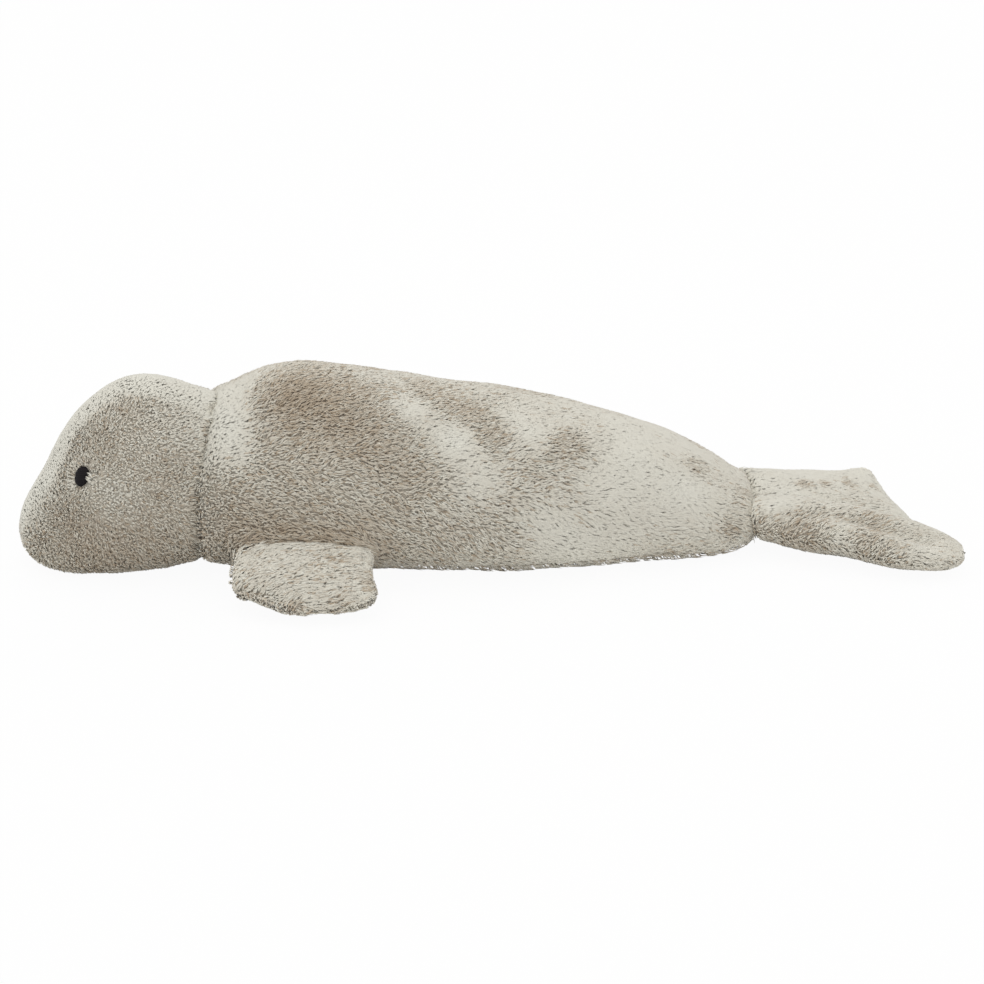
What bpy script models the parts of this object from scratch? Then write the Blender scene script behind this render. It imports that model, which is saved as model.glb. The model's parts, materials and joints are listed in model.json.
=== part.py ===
"""A floppy plush seal that lies on its belly: a stuffed torso with a head, four flippers and two stitched eyes.

Metres, +Z up. The seal looks along -X and its left side faces -Y. It rests on the plane Z = 0, and the
origin is the middle of its footprint. Each outer surface is where the tips of the pile end.
"""

import math
from typing import NamedTuple

import bmesh
import bpy
from mathutils import Matrix, Vector


class Section(NamedTuple):
    """A slice across a stuffed form, as shares of the form's own sizes."""

    at: float  # share of the length
    half_width: float  # share of half the width
    top: float  # its upper side, as a share of the height
    under: float  # its underside, below the floor where the weight presses it flat
    bow: float = 0.0  # how far its middle is shifted sideways


class Form(NamedTuple):
    """A stuffed bag: its sizes, and the sections that it passes through."""

    length: float
    width: float
    height: float
    bow: float
    rounding: float  # how blunt its ends are, from 0, flat, to 1, round
    sections: tuple


class Lobe(NamedTuple):
    """A stuffed flipper along +X from its root. A higher fullness makes its outline squarer. Pinch is how
    much narrower the root is, swell how much thicker, sweep how far the outer side is drawn back, as a share
    of the width, and curl how far the outer corner of the tip is lifted."""

    length: float
    width: float
    thickness: float
    pinch: float
    swell: float
    fullness: float = 2.8
    sweep: float = 0.0
    curl: float = 0.0


class Hollow(NamedTuple):
    """A soft dent in a side of a form, as shares of the form's length and height."""

    at: float
    up: float
    reach: float
    depth: float


# Torso, from the neck seam to the tail seam
TORSO_LENGTH = 0.294
TORSO_WIDTH = 0.140
TORSO_HEIGHT = 0.104
TORSO_BOW = 0.009
TORSO_SLICES = 20
TORSO_SIDES = 22
TORSO = Form(
    TORSO_LENGTH,
    TORSO_WIDTH,
    TORSO_HEIGHT,
    TORSO_BOW,
    rounding=0.20,
    sections=(
        Section(at=0.00, half_width=0.97, top=0.92, under=-0.06, bow=-0.8),
        Section(at=0.17, half_width=1.00, top=1.00, under=-0.04, bow=-0.4),
        Section(at=0.38, half_width=0.97, top=0.875, under=-0.03, bow=-0.1),
        Section(at=0.64, half_width=0.93, top=0.74, under=-0.03, bow=0.2),
        Section(at=0.84, half_width=0.775, top=0.585, under=-0.02, bow=0.6),
        Section(at=1.00, half_width=0.61, top=0.335, under=-0.01, bow=1.0),
    ),
)

# Soft hollows in the slack torso: the left ones are on the -Y side
LEFT_HOLLOWS = (
    Hollow(at=0.20, up=0.77, reach=0.25, depth=0.072),
    Hollow(at=0.36, up=0.54, reach=0.25, depth=0.048),
    Hollow(at=0.51, up=0.73, reach=0.17, depth=0.048),
    Hollow(at=0.63, up=0.46, reach=0.19, depth=0.043),
    Hollow(at=0.87, up=0.38, reach=0.15, depth=0.038),
)
RIGHT_HOLLOWS = (
    Hollow(at=0.26, up=0.73, reach=0.27, depth=0.062),
    Hollow(at=0.47, up=0.58, reach=0.23, depth=0.053),
    Hollow(at=0.69, up=0.56, reach=0.19, depth=0.043),
    Hollow(at=0.85, up=0.35, reach=0.17, depth=0.038),
)

# Head, from the snout to the end of the neck, which reaches inside the torso's outline
HEAD_LENGTH = 0.126
HEAD_WIDTH = 0.096
HEAD_HEIGHT = 0.101
HEAD_TURN = math.radians(10)
NECK_TUCK = 0.030
HEAD_SLICES = 14
HEAD_SIDES = 16
HEAD = Form(
    HEAD_LENGTH,
    HEAD_WIDTH,
    HEAD_HEIGHT,
    bow=0.0,
    rounding=0.50,
    sections=(
        Section(at=0.00, half_width=0.54, top=0.39, under=0.03),
        Section(at=0.11, half_width=0.69, top=0.56, under=-0.04),
        Section(at=0.22, half_width=0.81, top=0.79, under=-0.05),
        Section(at=0.38, half_width=0.92, top=0.95, under=-0.03),
        Section(at=0.56, half_width=0.98, top=1.00, under=-0.01),
        Section(at=0.78, half_width=1.00, top=0.97, under=0.01),
        Section(at=1.00, half_width=0.98, top=0.93, under=0.03),
    ),
)

# Fore flippers: squarish paddles sewn to the flanks, with their tips on the floor
FORE_AT = 0.0575  # behind the neck seam
FORE_TUCK = 0.026  # how far the root reaches inside the flank
FORE_LENGTH = 0.068
FORE_WIDTH = 0.083
FORE_THICKNESS = 0.016
FORE_ROOT_Z = 0.028
FORE_DROOP = math.radians(18)
FORE = Lobe(FORE_LENGTH, FORE_WIDTH, FORE_THICKNESS, pinch=0.14, swell=0.10)

# Hind flippers: two broad lobes that fan out from the tail seam. The left one is rolled up narrower and
# thicker, and the right one lies spread out and tucked under the left one's inner edge.
HIND_TUCK = 0.010  # how far the roots reach inside the torso
HIND_ROOT_Z = 0.0195
LEFT_HIND_LENGTH = 0.126
LEFT_HIND_WIDTH = 0.053
LEFT_HIND_THICKNESS = 0.018
LEFT_HIND_SHIFT = -0.012  # of the root, from the middle of the tail
LEFT_HIND_SPLAY = math.radians(-18)
LEFT_HIND_DROOP = math.radians(5)
LEFT_HIND = Lobe(LEFT_HIND_LENGTH, LEFT_HIND_WIDTH, LEFT_HIND_THICKNESS, pinch=0.28, swell=0.75)
RIGHT_HIND_LENGTH = 0.097
RIGHT_HIND_WIDTH = 0.066
RIGHT_HIND_THICKNESS = 0.015
RIGHT_HIND_CURL = 0.009
RIGHT_HIND_SHIFT = 0.005
RIGHT_HIND_SPLAY = math.radians(14)
RIGHT_HIND_DROOP = math.radians(9)
RIGHT_HIND_ROLL = math.radians(8)  # its outer edge stands a little up
RIGHT_HIND = Lobe(
    RIGHT_HIND_LENGTH,
    RIGHT_HIND_WIDTH,
    RIGHT_HIND_THICKNESS,
    pinch=0.12,
    swell=0.75,
    fullness=5.5,
    sweep=0.29,
    curl=RIGHT_HIND_CURL,
)

# Stitched eyes, each let into the pile of a cheek
EYE_WIDTH = 0.0085
EYE_HEIGHT = 0.0105
EYE_THICKNESS = 0.0036
EYE_PROUD = 0.0008
EYE_FROM_SNOUT = 0.0337
EYE_UP = 0.0591

CURL_NEARNESS = 6  # how close to its corner a curl stays
PADDLE_SLICES = 8
PADDLE_SIDES = 18

SEAM_GAP = 0.0003  # between pieces that are sewn together
WIDEST = 0.38  # share of a section's height at which it is widest
UNDERSIDE_FULLNESS = 2.7
SMOOTHING = 1
POLE = 1e-6  # a ring smaller than this is a pole of the sphere

PLUSH = ("plush", (0.47, 0.44, 0.38), 0.95)
THREAD = ("thread", (0.018, 0.015, 0.017), 0.6)


def clear_scene():
    """Removes whatever the file opened with."""
    for item in list(bpy.data.objects):
        bpy.data.objects.remove(item)


def collection(name):
    made = bpy.data.collections.new(name)
    bpy.context.scene.collection.children.link(made)
    return made


def material(name, colour, roughness):
    made = bpy.data.materials.get(name) or bpy.data.materials.new(name)
    made.use_nodes = True
    shader = made.node_tree.nodes["Principled BSDF"]
    shader.inputs["Base Color"].default_value = (*colour, 1.0)
    shader.inputs["Roughness"].default_value = roughness
    shader.inputs["Metallic"].default_value = 0.0
    return made


def add_object(name, form, group, finish=None):
    """Turns a bmesh into a smooth shaded object of the group."""
    mesh = bpy.data.meshes.new(name)
    form.to_mesh(mesh)
    form.free()
    mesh.shade_smooth()
    if finish:
        mesh.materials.append(material(*finish))
    made = bpy.data.objects.new(name, mesh)
    group.objects.link(made)
    return made


def section_at(form, x):
    """The section at a place along a form, in metres, on a smooth curve through the form's own."""
    at = x / form.length
    sections = form.sections
    last = len(sections) - 2
    index = min(last, max(0, sum(at > section.at for section in sections[1:])))
    before, start, end, after = (
        sections[max(0, index - 1)],
        sections[index],
        sections[index + 1],
        sections[min(last + 1, index + 2)],
    )
    span = end.at - start.at
    t = (at - start.at) / span
    shares = []
    for a, b, c, d in zip(before, start, end, after):
        slope_in = (c - a) / (end.at - before.at) * span
        slope_out = (d - b) / (after.at - start.at) * span
        shares.append(
            b * (2 * t**3 - 3 * t**2 + 1)
            + slope_in * (t**3 - 2 * t**2 + t)
            + c * (3 * t**2 - 2 * t**3)
            + slope_out * (t**3 - t**2)
        )
    scales = (form.length, form.width / 2, form.height, form.height, form.bow)
    return Section(*(share * scale for share, scale in zip(shares, scales)))


def cage_ease(sides):
    """How much larger a cage is drawn, so that its smoothed surface lies on the true section."""
    return 1 / (2 / 3 + math.cos(2 * math.pi / sides) / 3)


def widest_height(section):
    return section.under + WIDEST * (section.top - section.under)


def on_section(section, across, up, size):
    """A point of a section: a round back, and a fuller underside that sags on the floor."""
    middle = widest_height(section)
    reach = section.top - middle
    if up < 0:
        power = 2 / UNDERSIDE_FULLNESS
        across = math.copysign(abs(across) ** power, across)
        up = -(abs(up) ** power)
        reach = middle - section.under
    return section.bow + section.half_width * size * across, middle + reach * size * up


def stuffed_form(name, shape, slices, sides, group):
    """A closed stuffed bag from X = 0: a sphere with its poles on X, each slice drawn out to its section."""
    form = bmesh.new()
    bmesh.ops.create_uvsphere(form, u_segments=sides, v_segments=slices, radius=1.0)
    bmesh.ops.rotate(form, verts=form.verts, matrix=Matrix.Rotation(math.radians(90), 3, "Y"))
    ease = cage_ease(sides)
    for vert in form.verts:
        x = shape.length / 2 * (1 + vert.co.x)
        ring = math.hypot(vert.co.y, vert.co.z)
        section = section_at(shape, x)
        if ring < POLE:
            y, z = section.bow, widest_height(section)
        else:
            size = ease * ring**shape.rounding
            y, z = on_section(section, vert.co.y / ring, vert.co.z / ring, size)
        vert.co = (x, y, z)
    bmesh.ops.recalc_face_normals(form, faces=form.faces)
    made = add_object(name, form, group, PLUSH)
    smooth(made)
    return made


def press_hollows(piece, shape, hollows, side):
    """Sinks soft dents into the cage on one side of a form."""
    for hollow in hollows:
        section = section_at(shape, hollow.at * shape.length)
        middle = widest_height(section)
        height = hollow.up * shape.height
        rise = (height - middle) / (section.top - middle)
        out = section.half_width * math.sqrt(max(0.0, 1 - rise**2))
        centre = Vector((section.at, section.bow + side * out, height))
        reach = hollow.reach * shape.height
        depth = hollow.depth * shape.height
        for vert in piece.data.vertices:
            away = (vert.co - centre).length / reach
            vert.co -= vert.normal * depth * math.exp(-(away**2))


def smooth(piece):
    modifier = piece.modifiers.new("smooth", "SUBSURF")
    modifier.levels = modifier.render_levels = SMOOTHING


def paddle(name, lobe, group):
    """A flat stuffed flipper along +X from its root: a sphere drawn out to a squarish outline."""
    form = bmesh.new()
    bmesh.ops.create_uvsphere(form, u_segments=PADDLE_SIDES, v_segments=PADDLE_SLICES, radius=1.0)
    ease = cage_ease(PADDLE_SIDES)
    power = 2 / lobe.fullness
    corner = 0.5**power
    for vert in form.verts:
        out = math.hypot(vert.co.x, vert.co.y)
        along, across = (vert.co.x / out, vert.co.y / out) if out > POLE else (0.0, 0.0)
        along = math.copysign(abs(along) ** power, along) * out
        across = math.copysign(abs(across) ** power, across) * out
        towards_root = (1 - along) / 2
        drawn_back = lobe.sweep * lobe.width / 2 * across * (1 - towards_root)
        lifted = lobe.curl * (max(0.0, along) * max(0.0, across) / corner) ** CURL_NEARNESS
        vert.co = (
            lobe.length / 2 * (1 + along * ease) - drawn_back,
            lobe.width / 2 * across * ease * (1 - lobe.pinch * towards_root),
            lobe.thickness / 2 * vert.co.z * ease * (1 + lobe.swell * towards_root) + lifted,
        )
    made = add_object(name, form, group, PLUSH)
    smooth(made)
    return made


def cut(piece, cutter, label):
    """Takes the cutter's shape out of the piece."""
    modifier = piece.modifiers.new(label, "BOOLEAN")
    modifier.operation = "DIFFERENCE"
    modifier.solver = "EXACT"
    modifier.object = cutter


def as_cutter(item):
    item.hide_render = True
    item.display_type = "WIRE"
    return item


def floor_slab(cutters):
    """What the resting pieces are pressed flat against: a slab whose upper face is the floor."""
    side = 4 * TORSO_LENGTH
    form = bmesh.new()
    bmesh.ops.create_cube(form, size=1.0)
    bmesh.ops.scale(form, verts=form.verts, vec=(side, side, TORSO_HEIGHT))
    bmesh.ops.translate(form, verts=form.verts, vec=(0, 0, -TORSO_HEIGHT / 2))
    return as_cutter(add_object("floor", form, cutters))


def grown_copy(piece, cutters):
    """The piece's smoothed shape, larger all round by the seam gap, to cut a seat into its neighbour."""
    grown = piece.copy()
    grown.name = piece.name + "_seat"
    for item in piece.users_collection:
        if grown.name in item.objects:
            item.objects.unlink(grown)
    cutters.objects.link(grown)
    for modifier in list(grown.modifiers):
        if modifier.type == "BOOLEAN":
            grown.modifiers.remove(modifier)
    displace = grown.modifiers.new("seam gap", "DISPLACE")
    displace.mid_level = 0.0
    displace.strength = SEAM_GAP
    return as_cutter(grown)


def make_torso(parts):
    torso = stuffed_form("torso", TORSO, TORSO_SLICES, TORSO_SIDES, parts)
    press_hollows(torso, TORSO, LEFT_HOLLOWS, -1)
    press_hollows(torso, TORSO, RIGHT_HOLLOWS, 1)
    return torso


def make_head(parts):
    """The head turns about the end of its neck, which lies inside the torso."""
    head = stuffed_form("head", HEAD, HEAD_SLICES, HEAD_SIDES, parts)
    neck = section_at(TORSO, 0.0)
    turn = Matrix.Rotation(HEAD_TURN, 3, "Z")
    snout = turn @ Vector((-HEAD_LENGTH, 0, 0))
    head.location = (NECK_TUCK + snout.x, neck.bow + snout.y, 0.0)
    head.rotation_euler.z = HEAD_TURN
    return head


def make_fore_flipper(name, side, parts):
    flipper = paddle(name, FORE, parts)
    flank = section_at(TORSO, FORE_AT)
    root_y = flank.bow + side * (flank.half_width - FORE_TUCK)
    flipper.location = (FORE_AT, root_y, FORE_ROOT_Z)
    flipper.rotation_euler = (0, FORE_DROOP, side * math.radians(90))
    return flipper


def place_hind_flipper(flipper, shift, splay, droop, roll):
    """Sets the root at the tail seam and turns the flipper about it."""
    tail = section_at(TORSO, TORSO_LENGTH)
    flipper.location = (tail.at - HIND_TUCK, tail.bow + shift, HIND_ROOT_Z)
    flipper.rotation_euler = (roll, droop, splay)


def eye_pad(name, grow, group, finish=None):
    """A raised oval of satin stitch, flat to the cheek: its width along X, height along Z, front along -Y."""
    form = bmesh.new()
    bmesh.ops.create_uvsphere(form, u_segments=16, v_segments=8, radius=1.0)
    for vert in form.verts:
        vert.co = (
            vert.co.x * (EYE_WIDTH / 2 + grow),
            vert.co.y * (EYE_THICKNESS / 2 + grow),
            vert.co.z * (EYE_HEIGHT / 2 + grow),
        )
    return add_object(name, form, group, finish)


def make_eye(name, side, head, parts, cutters):
    """Finds the cheek from the side of the head, lets the eye into it and cuts its pocket."""
    bpy.context.view_layer.update()
    graph = bpy.context.evaluated_depsgraph_get()
    start = Vector((EYE_FROM_SNOUT, side * HEAD_WIDTH, EYE_UP))
    _, point, normal, _ = head.evaluated_get(graph).ray_cast(start, Vector((0, -side, 0)))
    sink = EYE_THICKNESS / 2 - EYE_PROUD
    turned = (-normal).to_track_quat("Y", "Z")
    place = Matrix.Translation(point - normal * sink) @ turned.to_matrix().to_4x4()
    eye = eye_pad(name, 0.0, parts, THREAD)
    pocket = as_cutter(eye_pad(name + "_pocket", SEAM_GAP, cutters))
    for item in (eye, pocket):
        item.matrix_world = head.matrix_world @ place
    cut(head, pocket, name + " pocket")
    return eye


def centre_on_footprint(items):
    """Moves everything so that the origin is under the middle of the finished toy."""
    bpy.context.view_layer.update()
    graph = bpy.context.evaluated_depsgraph_get()
    corners = []
    for item in items:
        if item.hide_render:
            continue
        shown = item.evaluated_get(graph)
        corners += [shown.matrix_world @ vert.co for vert in shown.data.vertices]
    middle_x = (min(c.x for c in corners) + max(c.x for c in corners)) / 2
    middle_y = (min(c.y for c in corners) + max(c.y for c in corners)) / 2
    for item in items:
        item.location.x -= middle_x
        item.location.y -= middle_y


def main():
    clear_scene()
    parts = collection("plush seal")
    cutters = collection("cutters")
    floor = floor_slab(cutters)

    torso = make_torso(parts)
    head = make_head(parts)
    left_fore = make_fore_flipper("left_fore_flipper", -1, parts)
    right_fore = make_fore_flipper("right_fore_flipper", 1, parts)
    left_hind = paddle("left_hind_flipper", LEFT_HIND, parts)
    place_hind_flipper(left_hind, LEFT_HIND_SHIFT, LEFT_HIND_SPLAY, LEFT_HIND_DROOP, 0.0)
    right_hind = paddle("right_hind_flipper", RIGHT_HIND, parts)
    place_hind_flipper(right_hind, RIGHT_HIND_SHIFT, RIGHT_HIND_SPLAY, RIGHT_HIND_DROOP, RIGHT_HIND_ROLL)
    make_eye("left_eye", -1, head, parts, cutters)
    make_eye("right_eye", 1, head, parts, cutters)

    torso_seat = grown_copy(torso, cutters)
    left_hind_seat = grown_copy(left_hind, cutters)
    for piece in (head, left_fore, right_fore, left_hind, right_hind):
        cut(piece, torso_seat, "seat on torso")
    cut(right_hind, left_hind_seat, "seat beside left flipper")
    for piece in (torso, head, left_fore, right_fore, left_hind, right_hind):
        cut(piece, floor, "press flat")
    centre_on_footprint(list(parts.objects) + list(cutters.objects))


main()
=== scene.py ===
"""The looks of the plush seal: stuffed skins, a curly pile of modelled locks, satin-stitched eyes and a plain
studio."""

import json
import math
from typing import NamedTuple

import bpy
import numpy as np
from bpy.props import FloatProperty, FloatVectorProperty, IntProperty, PointerProperty
from mathutils import Matrix, Vector, noise
from mathutils.bvhtree import BVHTree
from mathutils.kdtree import KDTree

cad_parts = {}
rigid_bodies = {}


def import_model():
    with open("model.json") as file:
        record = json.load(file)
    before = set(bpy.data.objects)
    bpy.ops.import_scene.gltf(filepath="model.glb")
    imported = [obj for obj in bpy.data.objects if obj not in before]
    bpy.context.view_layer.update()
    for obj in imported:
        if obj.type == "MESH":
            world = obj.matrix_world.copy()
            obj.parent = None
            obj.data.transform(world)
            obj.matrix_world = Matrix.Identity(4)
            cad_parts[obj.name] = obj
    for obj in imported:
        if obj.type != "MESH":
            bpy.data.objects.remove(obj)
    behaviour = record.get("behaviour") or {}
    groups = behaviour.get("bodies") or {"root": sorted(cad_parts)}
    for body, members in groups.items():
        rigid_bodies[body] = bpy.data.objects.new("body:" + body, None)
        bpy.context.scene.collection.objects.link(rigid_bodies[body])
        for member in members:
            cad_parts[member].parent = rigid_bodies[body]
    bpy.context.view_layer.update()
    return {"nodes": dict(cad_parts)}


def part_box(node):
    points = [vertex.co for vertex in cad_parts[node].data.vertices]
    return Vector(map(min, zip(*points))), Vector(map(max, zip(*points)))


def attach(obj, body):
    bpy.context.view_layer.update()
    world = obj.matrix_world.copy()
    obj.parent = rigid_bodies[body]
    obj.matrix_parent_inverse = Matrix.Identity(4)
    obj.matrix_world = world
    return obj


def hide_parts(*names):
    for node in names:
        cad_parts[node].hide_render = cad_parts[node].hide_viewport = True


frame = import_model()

bl_info = {
    "name": "Plush Seal",
    "version": (1, 0, 0),
    "blender": (4, 5, 0),
    "location": "3D View > Sidebar > Seal",
    "description": "Dresses the seal's solids in stuffed plush, stitched eyes and studio light",
    "category": "Object",
}

BODY = "root"
PLUSH_NODES = (
    "torso",
    "head",
    "left_fore_flipper",
    "right_fore_flipper",
    "left_hind_flipper",
    "right_hind_flipper",
)
UP = np.array((0.0, 0.0, 1.0))

MERGE = 1e-5
SEAM_REACH = 0.0014  # closer to a neighbour than this, a face is hidden in the seam
SEAM_FILL = 0.010  # closer to a neighbour than this, the cloth is drawn in less and pile fills the crease
SEAM_INSET = 0.30  # the share of the inset that is left at the seam
LUMP_SIZE = 0.021
CLOTH_FLOOR = 0.0022  # the cloth lies this high on the pile under it

TRIES = 5  # points scattered for each lock that there is room for
ROOT_CELL = 1.22  # the size of the cell that one lock has to itself, as a share of the spacing
CELL_KEY = np.array((73856093, 19349663, 83492791))  # makes one number of a cell's three
ROOT_DEPTH = 0.0006  # how deep a lock is set in the cloth
PILE_ROOM = 0.0025  # a lock needs this much room in front of its root
PILE_FLOOR = 0.0003  # no lock reaches lower than this
SEAM_COVER = 0.0085  # closer to a neighbour's cloth than this, locks are longer and cover the seam
SEAM_RUN = 1.1  # how much longer they are at the seam itself
RIM_BEND = 0.6  # a lock bends round a rim where the cosine of the cloth's turn below it is less than this
RIM_RUN = 0.4  # how much of its length a lock keeps there
FRONT_RUN = 0.4  # how much shorter a lock is where the cloth faces forwards
FRONT_LIFT = 1.4  # how much its nap turns up there
RIM_SHADE = 1.4  # how quickly a lock's shading turns hard where it bends
UNDER_SHADE = 1.3  # and where the cloth faces down
FAR_SIDE = 1.10  # how much further apart the locks stand on the side away from the camera
MID_TORSO = -0.010  # where the torso's pile is parted into a front and a rear piece
BELLY_FACING = -0.6  # cloth that faces down more than this, and lies below the next height, is the belly
BELLY_HEIGHT = 0.012
RUFF_REACH = 0.030
RUFF_HEIGHT = 0.28  # how much higher the pile stands at the neck seam
RUFF_RUN = 0.45  # and how much shorter it lies

NOISE_SEED = 1
CURL_SIZE = 0.016  # the nap turns from side to side over about this length, and this much
CURL_TURN = 0.9
TOUSLE_SIZE = 0.005  # and loose pile also over this length, and this much
TOUSLE_TURN = 0.8
SWAY = 0.2  # how much neighbouring locks turn from each other when they are straight
CURL_SWAY = 0.35  # and how much more when they are curled
CURL_NARROW = 0.18  # how much narrower curled locks are
WAVE = 0.0005  # how far a lock's bend lies to the side
BRUSHED_AND_LIT_TOP_EDGE = 0.10  # how softly the pale top ends, which is partly brushed pile and partly a painted highlight
PATCH_MOTTLE = 0.08
PATCH_MOTTLE_SIZE = 0.024
LOCK_MOTTLE_SIZE = 0.005
LOOSE_TONE = 0.62  # pile this dark or darker is loose
SMOOTH_TONE = 0.88  # pile this pale or paler is smooth
DARK_STRAYS = 0.13  # the share of loose locks that are much darker, and how much
DARK_STRAY_TONE = -0.60
PALE_STRAYS = 0.04
PALE_STRAY_TONE = 0.22

PILE_MAP = "OFBake"
MAP_MARGIN = 0.02
HALF_LOCK_ON_MAP = 0.0065
LOCK_CORNERS = 7  # three round the root, three round the bend and the tip
LOCK_TURNS = (math.pi / 2, math.pi * 7 / 6, math.pi * 11 / 6)
LOCK_FACES = ((0, 1, 2), (3, 4, 1, 0), (4, 5, 2, 1), (5, 3, 0, 2), (6, 4, 3), (6, 5, 4), (6, 3, 5))
LOCK_ACROSS = (0.0, -1.0, 1.0, 0.0, -1.0, 1.0, 0.0)  # where each corner lies on the map, across the lock
LOCK_UP = (0.03, 0.0, 0.0, 0.5, 0.5, 0.5, 1.0)  # and along it
LOCK_THICKNESS = 0.8  # as a share of its width
LOCK_TAPER = 0.86  # its width at the bend, as a share of its width at the root
LOCK_BEND = 0.28  # how far along a lock its bend is
LOCK_BEND_HEIGHT = 0.72  # how high its bend stands, as a share of its tip's height

EYE_DEPTH = 0.012  # points further in or out than this are nowhere near an eye
EYE_MARGIN = 1.02  # no lock is set closer to an eye's middle than this, as a share of its oval
EYE_BRUSHED = 2.2  # out to this, the pile is brushed away from the eye, or over it from behind
EYE_BEHIND = 1.5  # the locks behind the eye that reach over it stand no further out than this
EYE_OVER_PILE = 0.0009  # how far above the head's solid the tips of those locks end
BRUSH_AWAY = 1.8
BRUSH_OVER = -1.2
PAD_SIZE = np.array((0.97, 0.97, 0.88))  # as shares of the eye's half sizes
THREAD_PITCH = 0.9  # from one stitch to the next, as a share of the thread's thickness
THREAD_SHADE_STEP = 0.618  # how much the shade of each stitch differs from the last, in turns
STITCH_PARTS = 10

FLOOR_SIZE = 12.0
LAMP_PLACE = (-0.25, 0.35, 1.5)
LAMP_SIZE = 1.4
SENSOR_WIDTH = 36.0


class BrushedAndShadedPatch(NamedTuple):
    """A soft patch that looks darker or paler: partly painted shade in a hollow or fold and painted light on
    a ridge, partly pile brushed another way.
    """

    x: float
    y: float
    z: float
    reach: float
    tone: float


class Groove(NamedTuple):
    """A soft fold pressed into the upper side of a flipper."""

    start: tuple
    end: tuple
    width: float
    depth: float


class Dent(NamedTuple):
    """A stretch of cloth that is pushed aside."""

    place: tuple
    reach: float
    push: tuple


class Nap(NamedTuple):
    """A measure of the locks, where the pile is brushed smooth and where it is loose."""

    smooth: float
    tousled: float

    def at(self, loose):
        return self.smooth + (self.tousled - self.smooth) * loose


NAP_HEIGHT = Nap(0.72, 1.0)  # share of the coat's height
NAP_UNEVEN = Nap(0.06, 0.32)  # how much the heights differ
NAP_RUN = Nap(1.3, 1.0)  # share of the coat's run
NAP_SWAY = Nap(0.45, 1.0)  # share of the coat's sideways turns
NAP_WIDTH = Nap(1.60, 1.0)  # share of a lock's width
NAP_GATHER = Nap(0.10, 1.0)  # share of the pull to the clumps
NAP_MOTTLE = Nap(0.02, 0.14)  # how much the tone differs from place to place
NAP_SPECKLE = Nap(0.02, 0.13)  # and from lock to lock
NAP_SOFTNESS = Nap(0.92, 0.58)  # how much a lock is shaded like the cloth below it


class Coat(NamedTuple):
    """How the pile grows on a piece."""

    spacing: float  # between locks
    run: float  # how far a lock lies along the surface
    height: float  # of its tip above the cloth
    curl: float  # how far locks turn from the nap, from 0, brushed, to 1, tousled
    droop: float  # how much the nap turns down on the flanks
    tone: float  # from 0, dark and warm, to 1, pale and cool
    rise: float  # how much paler the top is painted: partly brushed pile, partly a painted highlight where the light falls
    top: float  # how far to the side the cloth may face and still take the top's painted highlight
    nap: tuple = (1.0, 0.0, 0.0)


TORSO_COAT = Coat(
    spacing=0.00106, run=0.0040, height=0.0029, curl=0.45, droop=0.30, tone=0.69, rise=0.08, top=0.20
)
BELLY_COAT = Coat(
    spacing=0.00270, run=0.0055, height=0.0024, curl=0.45, droop=0.00, tone=0.56, rise=0.00, top=0.10
)
HEAD_COAT = Coat(
    spacing=0.00104, run=0.0019, height=0.0028, curl=0.85, droop=0.20, tone=0.68, rise=0.23, top=0.42
)
FORE_COAT = Coat(
    spacing=0.00098, run=0.0044, height=0.0028, curl=0.25, droop=0.00, tone=0.72, rise=0.00, top=0.50
)
HIND_COAT = Coat(
    spacing=0.00100, run=0.0042, height=0.0029, curl=0.50, droop=0.20, tone=0.73, rise=0.06, top=0.50
)
FAR_HIND_COAT = HIND_COAT._replace(tone=0.88, rise=0.0)

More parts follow.
